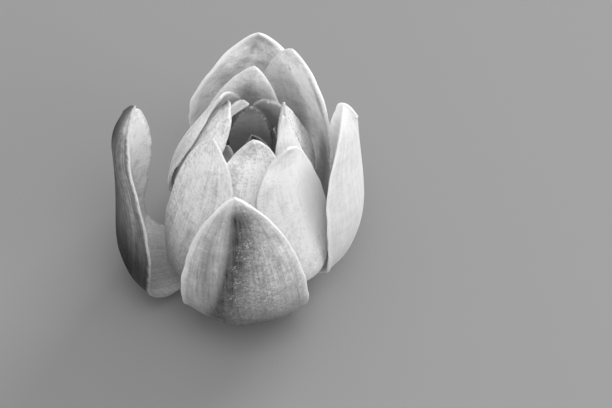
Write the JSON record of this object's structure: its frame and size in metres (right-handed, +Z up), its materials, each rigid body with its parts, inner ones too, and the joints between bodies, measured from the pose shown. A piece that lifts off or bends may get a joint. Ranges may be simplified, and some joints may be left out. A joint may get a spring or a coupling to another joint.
{
  "type": "water lily flower",
  "caption": "Half-open water lily flower: cupped, pointed petals in closing whorls inside broad boat-shaped sepals, standing on a short flush-cut stem.",
  "frame": {"origin": "centre of the flush cut under the receptacle, where the flower's axis meets it", "axes": "+Z up along the flower's axis, -Y towards the front sepal, +X towards the right sepal as the front is seen"},
  "size_m": [0.0492, 0.0495, 0.0591],
  "materials": {
    "sepal": "smooth waxy plant skin, fibrous and darker on the outside with a pale rim",
    "petal": "pale petal skin with fine grain and faint lengthwise veins, satin",
    "receptacle": "dark fleshy stem skin with a paler spongy cut face",
    "stamen": "soft matt straps with grainy anthers",
    "stigma": "moist satin disc with shallow rays"
  },
  "bodies": {
    "root": {"sepal_front": "sepal", "sepal_right": "sepal", "sepal_back": "sepal", "sepal_left": "sepal", "outer_petal_front_left": "petal", "outer_petal_front_right": "petal", "outer_petal_back_right": "petal", "outer_petal_back": "petal", "middle_petal_front": "petal", "middle_petal_front_right": "petal", "middle_petal_back_left": "petal", "middle_petal_left": "petal", "inner_petal_right": "petal", "inner_petal_back_right": "petal", "inner_petal_back_left": "petal", "inner_petal_front_left": "petal", "heart_petal_front": "petal", "heart_petal_right": "petal", "heart_petal_back": "petal", "heart_petal_left": "petal", "receptacle": "receptacle", "stamens": "stamen", "stigma": "stigma"}
  },
  "joints": []
}
